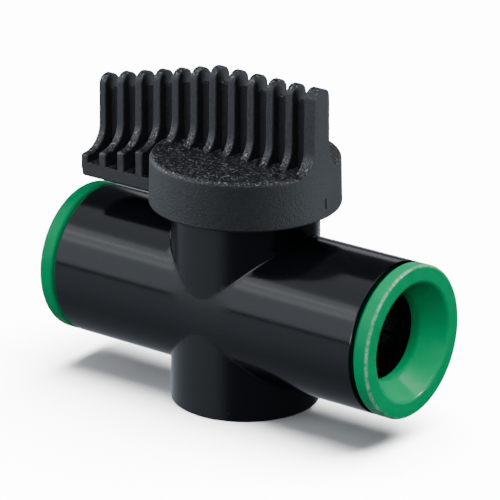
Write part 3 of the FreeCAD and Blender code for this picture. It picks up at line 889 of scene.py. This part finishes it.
# ------------------------------------------------------------------ sub-assemblies
@dataclass
class Body:
    """The cross-shaped moulding: glossy barrel, satin tower, chamber, end bores and cored foot."""

    datum: Datum
    fit: float = 0.05
    tower_wall: float = 2.5
    tower_draft: float = 0.15
    end_round: float = 0.4
    foot_round: float = 0.35
    chamber_r: float = 9.3
    chamber_floor: float = 2.4
    chamber_bottom: float = 8.4
    port_step: float = 12.0
    foot_rim: float = 2.6
    foot_rib: float = 1.2
    foot_rib_setback: float = 1.2
    crossing_round: float = 0.4
    fillet_sink: float = 0.012
    fillet_steps: int = 5
    facets: int = 224
    mesh_pitch: float = 1.5
    lug_rise: float = 1.1
    lug_height: float = 3.2
    lug_width: float = 12.0
    lug_root: float = 1.0
    lug_round: float = 0.25
    chamber_round: float = 0.6
    bonnet_lead: float = 0.4
    port_step_round: float = 0.3
    coring_round: float = 0.5
    coring_corner: float = 0.8
    fillet_root: float = 2.5
    fillet_passes: int = 3
    bore_facets: int = 160
    coring_facets: int = 96

    @property
    def tower_r(self) -> float:
        """Outside radius of the tower's top."""
        return self.datum.bonnet_r + self.fit + self.tower_wall

    @property
    def coring_r(self) -> float:
        """Radius of the coring under the foot."""
        return self.tower_r + self.tower_draft - self.foot_rim

    def barrel(self) -> bmesh.types.BMesh:
        """The barrel as a solid bar with softened ends."""
        end, radius = self.datum.barrel_end, self.datum.barrel_r
        corners = post(Corner(-end, radius, self.end_round), Corner(end, radius, self.end_round))
        height = self.datum.axis_height
        bar = turned(corners, Axis.BARREL, height, self.facets, pitch=self.mesh_pitch)
        return painted(bar, GLOSS)

    def tower(self) -> bmesh.types.BMesh:
        """The tower and foot as a solid post with draft."""
        foot = Corner(0, self.tower_r + self.tower_draft, self.foot_round)
        top = Corner(self.datum.tower_top, self.tower_r, self.foot_round)
        upright = turned(post(foot, top), Axis.STEM, 0, self.facets, pitch=self.mesh_pitch)
        return painted(upright, SATIN)

    def tower_r_at(self, height: float) -> float:
        """Radius of the drafted tower at a height."""
        return self.tower_r + self.tower_draft * (1 - height / self.datum.tower_top)

    def fillet_section(self, turn: float, side: int) -> list[Vector]:
        """The section of the fillet between tower and barrel, as a ball would leave it.

        Args:
            turn: angle round the stem.
            side: 1 over the barrel, -1 under it.

        Returns:
            The hollow arc from the tower to the barrel, and a root inside the wall.
        """
        ball, sink = self.crossing_round, self.fillet_sink
        off_tower = Vector((math.cos(turn), math.sin(turn), 0))
        height = self.datum.axis_height + side * self.datum.barrel_r
        for _ in range(self.fillet_passes):
            centre = off_tower * (self.tower_r_at(height) + ball)
            rise = side * math.sqrt((self.datum.barrel_r + ball) ** 2 - centre.y**2)
            height = self.datum.axis_height + rise
        off_barrel = Vector((0, centre.y, rise)).normalized()
        centre.z = height
        steps = self.fillet_steps
        arc = [off_tower.slerp(off_barrel, step / steps) for step in range(steps + 1)]
        root = centre - (off_tower + off_barrel).normalized() * (self.fillet_root * ball)
        return [centre - way * (ball + sink * (way in (arc[0], arc[-1]))) for way in arc] + [root]

    def crossing_fillet(self, side: int) -> bmesh.types.BMesh:
        """The fillet all round the tower, over the barrel or under it."""
        turns = [math.tau * (step + 0.5) / self.facets for step in range(self.facets)]
        return painted(lofted([self.fillet_section(turn, side) for turn in turns]), GLOSS)

    def lug(self) -> bmesh.types.BMesh:
        """The stop lug near the tower's top, at the back."""
        half = math.radians(self.lug_width / 2) * self.tower_r
        top = self.datum.tower_top - self.fit
        low = Vector((-half, self.tower_r - self.lug_root, top - self.lug_height))
        high = Vector((half, self.tower_r + self.lug_rise, top))
        return painted(softened(block(low, high), self.lug_round), SATIN)

    def bores(self) -> Iterable[bmesh.types.BMesh]:
        """Every hollow: chamber, bonnet bore, seat bore and the two end bores."""
        d = self.datum
        bonnet_bore = d.bonnet_r + self.fit
        chamber = [
            Corner(self.chamber_bottom, 0),
            Corner(self.chamber_bottom, self.chamber_r, self.chamber_round),
            Corner(d.bonnet_seat, self.chamber_r),
            Corner(d.bonnet_seat, bonnet_bore),
            Corner(d.tower_top - self.bonnet_lead, bonnet_bore),
            Corner(d.tower_top + OVERRUN, bonnet_bore + self.bonnet_lead + OVERRUN),
            Corner(d.tower_top + OVERRUN, 0),
        ]
        yield painted(turned(chamber, Axis.STEM, 0, self.bore_facets), SATIN)
        reach = d.barrel_end + OVERRUN
        seat_bore = d.seat_r + self.fit
        end_bore = d.spigot_r + self.fit
        port = [
            Corner(self.port_step, seat_bore),
            Corner(self.port_step, end_bore, self.port_step_round),
            Corner(reach, end_bore),
            Corner(reach, 0),
        ]
        through = flipped(port) + port
        yield painted(turned(through, Axis.BARREL, d.axis_height, self.bore_facets), SATIN)

    def foot_recess(self) -> bmesh.types.BMesh:
        """One quarter of the coring under the foot, between two stiffening ribs."""
        top = self.chamber_bottom - self.chamber_floor
        half, radius = self.foot_rib / 2, self.coring_r
        corners = post(Corner(-OVERRUN, radius), Corner(top, radius, self.coring_round))
        quarter = Workpiece("coring", turned(corners, Axis.STEM, 0, self.coring_facets))
        low = Vector((half, half, -2 * OVERRUN))
        high = Vector((2 * radius, 2 * radius, top + OVERRUN))

        def between_ribs(edge: bmesh.types.BMEdge) -> bool:
            """True for the upright edge in the corner of the two ribs."""
            return lies_at(edge, "x", half) and lies_at(edge, "y", half)

        room = softened(block(low, high), self.coring_corner, between_ribs)
        quarter.apply(Operation.KEEP, room)
        return painted(quarter.solid(), SATIN)

    def foot_mouth(self) -> bmesh.types.BMesh:
        """The round opening that sets the stiffening ribs back from the foot's face."""
        low, high = Corner(-OVERRUN, self.coring_r), Corner(self.foot_rib_setback, self.coring_r)
        return painted(turned(post(low, high), Axis.STEM, 0, self.coring_facets), SATIN)

    def build(self, gloss: bpy.types.Material, satin: bpy.types.Material) -> bpy.types.Object:
        """Makes the body.

        Args:
            gloss: finish of the barrel.
            satin: finish of the tower and the insides.

        Returns:
            The piece, riding on the housing.
        """
        work = Workpiece("body_moulding", self.barrel())
        work.apply(Operation.ADD, self.tower())
        work.apply(Operation.ADD, self.lug())
        for side in (1, -1):
            work.apply(Operation.ADD, self.crossing_fillet(side))
        for bore in self.bores():
            work.apply(Operation.CUT, bore)
        for degrees in (0, 90, 180, 270):
            work.apply(Operation.CUT, about_stem(self.foot_recess(), degrees))
        work.apply(Operation.CUT, self.foot_mouth())
        piece = work.finish([gloss, satin])
        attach(piece, "housing")
        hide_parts("valve_body")
        return piece


class End(Enum):
    """Which end of the barrel."""

    RIGHT = 1
    LEFT = -1


@dataclass
class Collar:
    """The green collar that closes one end of the barrel."""

    datum: Datum
    end: End
    band: float = 2.8
    groove_depth: float = 0.9
    face_width: float = 3.1
    edge_round: float = 0.5
    mouth_round: float = 0.9
    throat_depth: float = 4.2
    throat_round: float = 1.2
    spigot_round: float = 0.2
    groove_round: float = 0.12
    shoulder_round: float = 0.1
    facets: int = 192
    arc: int = 8

    def outline(self) -> list[Corner]:
        """Half section, from the mouth round the outside and back up the bore."""
        d = self.datum
        face, throat = d.half_span, d.half_span - self.throat_depth
        rim, groove = d.barrel_r, d.barrel_r - self.groove_depth
        return [
            Corner(face, rim - self.face_width, self.mouth_round),
            Corner(face, rim, self.edge_round),
            Corner(face - self.band, rim, self.edge_round),
            Corner(face - self.band, groove, self.groove_round),
            Corner(d.barrel_end, groove, self.groove_round),
            Corner(d.barrel_end, d.spigot_r, self.shoulder_round),
            Corner(d.spigot_end, d.spigot_r, self.spigot_round),
            Corner(d.spigot_end, d.throat_r, self.spigot_round),
            Corner(throat, d.throat_r, self.throat_round),
        ]

    def build(self, finish: bpy.types.Material) -> bpy.types.Object:
        """Makes the collar in its finish and rides it on the housing."""
        side = self.end.name.lower()
        height = self.datum.axis_height
        bm = turned(self.outline(), Axis.BARREL, height, self.facets, self.arc)
        if self.end is End.LEFT:
            bmesh.ops.scale(bm, vec=(-1, 1, 1), verts=bm.verts)
            bmesh.ops.recalc_face_normals(bm, faces=bm.faces[:])
        piece = Workpiece(f"collar_moulding_{side}", bm).finish([finish])
        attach(piece, "housing")
        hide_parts(f"collar_{side}")
        return piece


@dataclass
class Handle:
    """The moulded handle: drum, twelve-ribbed grip, overhanging wing, hub and stops."""

    datum: Datum
    grip_height: float = 14.6
    cap_draft: float = 0.2
    cap_round: float = 0.9
    cap_plate: float = 2.2
    skirt_bore_r: float = 14.5
    grip_half: float = 2.15
    top_half: float = 1.95
    crest_back: float = 5.6
    crest_angle: float = 13.6
    rib_count: int = 12
    rib: float = 1.65
    end_rib: float = 2.4
    rib_round: float = 0.3
    web: float = 1.0
    web_drop: float = 2.7
    flare: float = 4.45
    wing_half: float = 7.15
    wing_corner: float = 0.55
    wing_rise: float = 4.15
    wing_floor: float = 2.7
    wing_round: float = 0.6
    foot_sink: float = 0.6
    undercut_wall: float = 1.3
    undercut_depth: float = 1.3
    hub_r: float = 5.5
    hub_gap: float = 0.8
    socket_half: float = 3.15
    socket_depth: float = 1.05
    stop_width: float = 12.0
    stop_angles: tuple[float, float] = (77.5, 192.5)
    stop_gap: float = 0.3
    gate_width: float = 0.35
    gate_height: float = 1.9
    gate_rise: float = 1.8
    gate_offset: float = 0.9
    gate_depth: float = 0.3
    ceiling_round: float = 0.8
    bore_round: float = 0.25
    skirt_round: float = 0.45
    crown_share: float = 0.96
    rib_root: float = 0.4
    rib_arc: int = 10
    rib_steps: int = 4
    rim_clear: float = 0.5
    rim_crease: float = 50.0
    web_bend: float = 3.0
    web_round: float = 0.3
    web_clear: float = 4.0
    web_run: float = 0.05
    wing_overlap: float = 1.1
    wing_steps: int = 5
    undercut_round: float = 0.35
    tower_lip: float = 0.5
    hub_round: float = 0.4
    stop_recess: float = 0.55
    stop_root: float = 0.5
    stop_overlap: float = 1.1
    stop_round: float = 0.2
    facets: int = 200
    arc: int = 8
    hub_facets: int = 96

    @property
    def cap_top(self) -> float:
        """Height of the drum's top."""
        return self.datum.crest - self.grip_height

    @property
    def cap_top_r(self) -> float:
        """Radius of the drum's top."""
        return self.datum.cap_r - self.cap_draft

    @property
    def ceiling(self) -> float:
        """Height of the drum's inner ceiling."""
        return self.cap_top - self.cap_plate

    @property
    def wing_root(self) -> float:
        """Where the wing ends inside the drum."""
        return -self.cap_top_r + self.wing_overlap

    @property
    def slope(self) -> float:
        """Rise of the crest for each millimetre along the barrel."""
        return math.tan(math.radians(self.crest_angle))

    def crest_at(self, x: float) -> float:
        """Height of the grip's crest."""
        return self.datum.crest - self.slope * max(0.0, -self.crest_back - x)

    def shoulder_at(self, x: float) -> float:
        """Height of the low point of a rib's flare."""
        over_cap = self.cap_top - self.foot_sink
        over_wing = self.datum.underside + self.wing_rise + self.slope * (x + self.datum.reach)
        return min(over_cap, over_wing)

    def drum(self) -> bmesh.types.BMesh:
        """The hollow drum: skirt, ceiling and softened rim."""
        d = self.datum
        corners = [
            Corner(self.ceiling, 0),
            Corner(self.ceiling, self.skirt_bore_r, self.ceiling_round),
            Corner(d.underside, self.skirt_bore_r, self.bore_round),
            Corner(d.underside, d.cap_r, self.skirt_round),
            Corner(self.cap_top, self.cap_top_r, self.cap_round),
            Corner(self.cap_top, 0),
        ]
        return turned(corners, Axis.STEM, 0, self.facets, self.arc)

    def rib_face(self, x: float, base: float) -> bmesh.types.BMesh:
        """One rib's face: rounded top, straight flanks, hollow flare and the wing's corner.

        Args:
            x: the face's place along the barrel.
            base: height of its lower edge, out of sight in the drum or the wing.

        Returns:
            The face.
        """
        top, shoulder = self.crest_at(x + self.rib / 2), self.shoulder_at(x)
        crown = self.top_half * self.crown_share
        right = [
            Corner(self.wing_half, base),
            Corner(self.wing_half, shoulder, self.wing_corner),
            Corner(self.grip_half, shoulder, self.flare),
            Corner(self.top_half, top, crown),
        ]
        return draw(right + flipped(right), lambda y, z: Vector((x, y, z)), self.rib_arc)

    def rib_solid(self, x: float, base: float) -> bmesh.types.BMesh:
        """One rib with both its faces' edges softened."""
        solid = extruded(self.rib_face(x, base), Vector((self.rib, 0, 0)))
        far = x + self.rib

        def on_a_face(edge: bmesh.types.BMEdge) -> bool:
            """True for an edge round one of the two faces, above the base."""
            flat = lies_at(edge, "x", x) or lies_at(edge, "x", far)
            return flat and max(vert.co.z for vert in edge.verts) > base + SAME

        return softened(solid, self.rib_round, on_a_face, self.rib_steps)

    def rib_places(self) -> list[float]:
        """The left face of each rib."""
        last = self.cap_top_r - self.end_rib
        pitch = (last + self.datum.reach) / (self.rib_count - 1)
        return [-self.datum.reach + pitch * i for i in range(self.rib_count)]

    def end_rib_solid(self, x: float, base: float) -> bmesh.types.BMesh:
        """The last rib, whose outer face follows the drum's rim."""
        bar = extruded(self.rib_face(x, base), Vector((2 * self.end_rib, 0, 0)))
        work = Workpiece("end_rib", bar)
        low = Corner(base - OVERRUN, self.cap_top_r)
        high = Corner(self.datum.crest + OVERRUN, self.cap_top_r)
        work.apply(Operation.KEEP, turned(post(low, high), Axis.STEM, 0, self.facets))
        above = self.cap_top + self.rim_clear

        def sharp_and_high(edge: bmesh.types.BMEdge) -> bool:
            """True for a crease above the drum."""
            crease = math.radians(self.rim_crease)
            creased = len(edge.link_faces) == 2 and edge.calc_face_angle() > crease
            return creased and min(vert.co.z for vert in edge.verts) > above

        return softened(work.solid(), self.rib_round, sharp_and_high, self.rib_steps)

    def web_solid(self) -> bmesh.types.BMesh:
        """The thin wall that joins the ribs, with a softened crest."""
        d = self.datum
        left, right = -d.reach + self.rib / 2, self.cap_top_r - self.end_rib / 2
        base, plate = d.underside + self.wing_floor / 2, self.ceiling + self.cap_plate / 2
        corners = [
            Corner(left, base),
            Corner(left, self.crest_at(left) - self.web_drop),
            Corner(-self.crest_back, d.crest - self.web_drop, self.web_bend),
            Corner(right, d.crest - self.web_drop),
            Corner(right, plate),
            Corner(self.wing_root, plate),
            Corner(self.wing_root, base),
        ]
        half = self.web / 2
        face = draw(corners, lambda x, z: Vector((x, -half, z)))
        solid = extruded(face, Vector((0, self.web, 0)))

        def along_crest(edge: bmesh.types.BMEdge) -> bool:
            """True for an edge that runs along the top."""
            first, second = (vert.co for vert in edge.verts)
            lengthwise = near(first.y, second.y) and abs(first.x - second.x) > self.web_run
            return lengthwise and min(first.z, second.z) > plate + self.web_clear

        return softened(solid, self.web_round, along_crest)

    def wing_solid(self) -> bmesh.types.BMesh:
        """The base plate under the overhanging ribs, cored from below."""
        d = self.datum
        low = Vector((-d.reach, -self.wing_half, d.underside))
        high = Vector((self.wing_root, self.wing_half, d.underside + self.wing_floor))

        def outer_edge(edge: bmesh.types.BMEdge) -> bool:
            """True for an edge of the underside or of the long end."""
            under = lies_at(edge, "z", low.z) and not lies_at(edge, "x", high.x)
            return (under or lies_at(edge, "x", low.x)) and not lies_at(edge, "z", high.z)

        plate = softened(block(low, high), self.wing_round, outer_edge, self.wing_steps)
        work = Workpiece("wing", plate)
        wall = self.undercut_wall
        hollow = block(
            Vector((low.x + wall, low.y + wall, low.z - OVERRUN)),
            Vector((-d.cap_r - wall, -low.y - wall, low.z + self.undercut_depth)),
        )
        work.apply(Operation.CUT, softened(hollow, self.undercut_round))
        return work.solid()

    def hub_solid(self) -> bmesh.types.BMesh:
        """The hub that takes the stem's square, without its socket."""
        bottom = self.datum.tower_top - self.tower_lip + self.hub_gap
        low = Corner(bottom, self.hub_r, self.hub_round)
        high = Corner(self.ceiling + self.cap_plate / 2, self.hub_r)
        return turned(post(low, high), Axis.STEM, 0, self.hub_facets)

    def stop_solid(self, angle: float, tower_r: float) -> bmesh.types.BMesh:
        """One stop inside the skirt."""
        half = math.radians(self.stop_width / 2) * self.skirt_bore_r
        low = Vector((tower_r + self.stop_gap, -half, self.datum.underside + self.stop_recess))
        high = Vector((self.skirt_bore_r + self.stop_overlap, half, self.ceiling + self.stop_root))
        return about_stem(softened(block(low, high), self.stop_round), angle)

    def gate_mark(self) -> bmesh.types.BMesh:
        """The blind slit that the gate left on the drum's side."""
        half, low = self.gate_width / 2, self.datum.underside + self.gate_rise
        return block(
            Vector((self.cap_top_r - self.gate_depth, self.gate_offset - half, low)),
            Vector((self.datum.cap_r + OVERRUN, self.gate_offset + half, low + self.gate_height)),
        )

    def build(self, finish: bpy.types.Material, tower_r: float) -> bpy.types.Object:
        """Makes the handle.

        Args:
            finish: its material.
            tower_r: outside radius of the tower it turns on.

        Returns:
            The piece, riding on the handle unit.
        """
        d = self.datum
        base = d.underside + self.wing_floor / 2
        in_plate = self.ceiling + self.rib_root * self.cap_plate
        work = Workpiece("handle_moulding", self.drum())
        work.apply(Operation.ADD, self.wing_solid())
        places = self.rib_places()
        for x in places[:-1]:
            over_cap = x > -self.cap_top_r + self.rib
            work.apply(Operation.ADD, self.rib_solid(x, in_plate if over_cap else base))
        work.apply(Operation.ADD, self.end_rib_solid(places[-1], in_plate))
        work.apply(Operation.ADD, self.web_solid())
        work.apply(Operation.ADD, self.hub_solid())
        for angle in self.stop_angles:
            work.apply(Operation.ADD, self.stop_solid(angle, tower_r))
        half = self.socket_half
        low = Vector((-half, -half, d.tower_top - 2 * OVERRUN))
        high = Vector((half, half, self.cap_top - self.socket_depth))
        work.apply(Operation.CUT, block(low, high))
        work.apply(Operation.CUT, self.gate_mark())
        piece = work.finish([finish])
        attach(piece, "handle_unit")
        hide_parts("handle")
        return piece


@dataclass
class Insides:
    """The working pieces that keep their CAD shape and take a finish."""

    finishes: dict[str, bpy.types.Material]

    def dress(self) -> None:
        """Gives each node the finish of its material slot."""
        slots = {part["node"]: part["material_slot"] for part in frame["record"]["subparts"]}
        for name, node in frame["nodes"].items():
            finish = self.finishes.get(slots[name])
            if finish is None:
                continue
            node.data.materials.clear()
            node.data.materials.append(finish)
            LOG.info("%s: dressed in %s", name, finish.name)


# ------------------------------------------------------------------ studio
@dataclass(frozen=True)
class Softbox:
    """An oblong area light, placed by direction and distance from the valve and aimed at it.

    Directions are in degrees, round from the right end and up from level. Sizes are in metres.
    A light that shines shows on matt surfaces, and a mirrored one shows in reflections.
    """

    name: str
    azimuth: float
    elevation: float
    distance: float
    width: float
    height: float
    radiance: float
    colour: Colour = (1.0, 1.0, 1.0)
    shines: bool = True
    mirrored: bool = True

    def hang(self, target: Vector, receivers: Sequence[bpy.types.Object] = ()) -> None:
        """Places the light and aims it.

        Args:
            target: the point it is aimed at.
            receivers: the only objects that it lights, or none for all of them.
        """
        data = bpy.data.lights.new(self.name, "AREA")
        data.shape = "RECTANGLE"
        data.size, data.size_y = self.width, self.height
        data.energy = self.radiance * math.pi * self.width * self.height
        data.color = self.colour
        light = linked(self.name, data)
        across, rise = math.radians(self.azimuth), math.radians(self.elevation)
        level = math.cos(rise)
        outward = Vector((math.cos(across) * level, math.sin(across) * level, math.sin(rise)))
        aim(light, target + outward * self.distance, -outward)
        light.visible_camera = False
        light.visible_diffuse = self.shines
        light.visible_glossy = self.mirrored
        if receivers:
            lit = bpy.data.collections.new("lit_by_" + self.name)
            for receiver in receivers:
                lit.objects.link(receiver)
            light.light_linking.receiver_collection = lit


@dataclass(frozen=True)
class Surround:
    """The dim room: grey-blue table, dark line at its edge, dark ceiling, darker to the right."""

    profile: tuple[tuple[float, Colour], ...] = (
        (-1.0, (0.17, 0.19, 0.22)),
        (-0.70, (0.25, 0.28, 0.32)),
        (-0.35, (0.50, 0.57, 0.64)),
        (-0.055, (0.62, 0.69, 0.77)),
        (-0.030, (0.07, 0.08, 0.10)),
        (0.03, (0.05, 0.06, 0.07)),
        (1.0, (0.06, 0.07, 0.08)),
    )
    right_share: float = 0.12
    fade: tuple[float, float] = (0.20, -0.30)

    def build(self) -> bpy.types.World:
        """Makes the world and returns it."""
        world = bpy.data.worlds.new("surround")
        world.use_nodes = True
        g = Graph(world.node_tree)
        direction = g.node("ShaderNodeTexCoord").outputs["Generated"]
        stops = [((height + 1) / 2, colour) for height, colour in self.profile]
        rising = g.ramp((g.part(direction, "Z") + 1.0) * 0.5, stops)
        share = self.right_share + (1 - self.right_share) * g.part(direction, "X").step(*self.fade)
        light = g.node("ShaderNodeBackground", None, {"Color": rising, "Strength": share})
        output = g.node("ShaderNodeOutputWorld")
        g.tree.links.new(light.outputs[0], output.inputs["Surface"])
        return world


@dataclass
class Studio:
    """Floor, soft lights, surround and camera."""

    datum: Datum
    azimuth: float = 38.0
    elevation: float = 20.65
    distance: float = 0.662
    lens: float = 272.8
    aim_right: float = 0.000776
    aim_up: float = 0.00810
    sensor: float = 36.0
    clip: tuple[float, float] = (0.05, 20.0)
    floor_half: float = 3.0
    floor_cells: int = 4
    floor_drop: float = 0.00002
    lights: tuple[Softbox, ...] = (
        Softbox("key_wide", -122.0, 42.0, 0.95, 1.60, 1.68, 0.70, (0.93, 1.0, 1.07)),
        Softbox("key_low", -122.0, 17.0, 0.94, 1.50, 0.50, 0.65, (0.91, 1.0, 1.10)),
        Softbox("key_core", -135.0, 35.0, 0.93, 0.50, 0.26, 1.25, (0.93, 1.0, 1.05)),
        Softbox("lamp_streak", -135.5, 36.0, 0.90, 0.34, 0.016, 3.0, (1.0, 0.94, 0.88)),
        Softbox("front_fill", -72.0, 20.0, 0.95, 0.70, 0.60, 1.5, (0.94, 1.0, 1.07)),
        Softbox("left_rim", 165.0, 14.0, 0.90, 0.40, 0.50, 1.6),
        Softbox("overhead", 45.0, 86.0, 1.00, 0.80, 0.80, 0.8),
        Softbox("back_card", 117.0, 17.5, 0.226, 0.13, 0.05, 0.6),
    )
    body_lights: tuple[Softbox, ...] = (
        Softbox("foot_fill", -72.0, 7.0, 0.95, 0.70, 0.20, 3.6, (0.94, 1.0, 1.07)),
    )
    handle_lights: tuple[Softbox, ...] = (
        Softbox("handle_left", -158.0, 12.0, 0.90, 0.50, 0.40, 6.5, (0.93, 1.0, 1.08)),
        Softbox("handle_right", 34.0, 8.0, 0.90, 0.50, 0.30, 20.0, (0.91, 1.0, 1.07)),
        Softbox("handle_lamp", -32.0, 64.0, 0.90, 0.14, 0.10, 45.0),
    )
    collar_lights: tuple[Softbox, ...] = (
        Softbox("collar_panel", 28.0, 50.0, 0.90, 0.80, 0.40, 12.0),
        Softbox("collar_fill", -56.0, 18.0, 0.90, 0.50, 0.50, 3.4, mirrored=False),
        Softbox("collar_lamp", 37.0, 18.0, 0.90, 0.10, 0.10, 400.0, shines=False),
    )
    floor_light: Softbox = Softbox("floor_wash", 60.0, 75.0, 1.60, 1.80, 1.80, 60.0)

    def floor(self) -> bpy.types.Object:
        """The white sweep under the foot; the surround's table stands for it in reflections."""
        bm, cells = bmesh.new(), self.floor_cells
        bmesh.ops.create_grid(bm, x_segments=cells, y_segments=cells, size=self.floor_half)
        made = meshed("floor", bm)
        made.data.materials.append(StudioFloor().material())
        made.location.z = -self.floor_drop
        made.visible_diffuse = False
        made.visible_glossy = False
        return made

    @property
    def centre(self) -> Vector:
        """The middle of the barrel, in metres."""
        return Vector((0, 0, self.datum.axis_height * MM))

    def camera(self) -> None:
        """Sets the camera, a little above and to the right of the valve's front."""
        a, e = math.radians(self.azimuth), math.radians(self.elevation)
        back = Vector((math.sin(a) * math.cos(e), -math.cos(a) * math.cos(e), math.sin(e)))
        right = Vector((math.cos(a), math.sin(a), 0))
        up = back.cross(right)
        data = bpy.data.cameras.new("camera")
        data.lens = self.lens
        data.sensor_width = self.sensor
        data.clip_start, data.clip_end = self.clip
        made = linked("camera", data)
        place = self.centre + back * self.distance
        aim(made, place, self.centre + right * self.aim_right + up * self.aim_up - place)
        bpy.context.scene.camera = made

    def build(
        self,
        body: bpy.types.Object,
        handle: bpy.types.Object,
        collars: Sequence[bpy.types.Object],
    ) -> None:
        """Sets the whole studio.

        Args:
            body: the piece that has a low fill of its own.
            handle: the piece that has rim lights of its own.
            collars: the pieces that have a panel, a fill and a small lamp of their own.
        """
        self.floor_light.hang(self.centre, [self.floor()])
        groups = (
            (self.lights, ()),
            (self.body_lights, [body]),
            (self.handle_lights, [handle]),
            (self.collar_lights, collars),
        )
        for softboxes, receivers in groups:
            for softbox in softboxes:
                softbox.hang(self.centre, receivers)
        bpy.context.scene.world = Surround().build()
        self.camera()


def inside_finishes() -> dict[str, bpy.types.Material]:
    """The finish of each material slot whose pieces keep their CAD shape."""
    looks = {
        "ball_plastic": PlainPolymer(
            "polished_acetal", (0.70, 0.70, 0.67), (0.80, 0.80, 0.78), 0.16
        ),
        "seat_plastic": PlainPolymer(
            "seat_fluoropolymer", (0.76, 0.76, 0.74), (0.84, 0.84, 0.83), 0.42
        ),
        "seal_rubber": PlainPolymer(
            "nitrile_rubber", (0.010, 0.010, 0.010), (0.022, 0.022, 0.022), 0.55, 0.12, 0.012
        ),
        "stem_plastic": PlainPolymer(
            "filled_nylon", (0.045, 0.045, 0.05), (0.075, 0.075, 0.08), 0.45, 0.15, 0.02
        ),
        "insert_plastic": PlainPolymer(
            "insert_moulding", (0.012, 0.0125, 0.014), (0.022, 0.023, 0.025), 0.38
        ),
        "spring_steel": SpringSteel(),
    }
    return {slot: look.material() for slot, look in looks.items()}


def main() -> None:
    """Builds the sub-assemblies in order, dresses the insides and sets the studio."""
    logging.basicConfig(level=logging.INFO, format="%(name)s %(message)s")
    datum = Datum.read()
    LOG.info("frame sizes: %s", datum)
    body = Body(datum)
    cross = body.build(GlossMoulding().material(), SatinMoulding().material())
    green = TintedCollar(datum.axis_height, datum.half_span, datum.barrel_r).material()
    collars = [Collar(datum, end).build(green) for end in End]
    handle = Handle(datum).build(SparkErodedMoulding().material(), body.tower_r)
    Insides(inside_finishes()).dress()
    Studio(datum).build(cross, handle, collars)


if __name__ == "__main__":
    main()
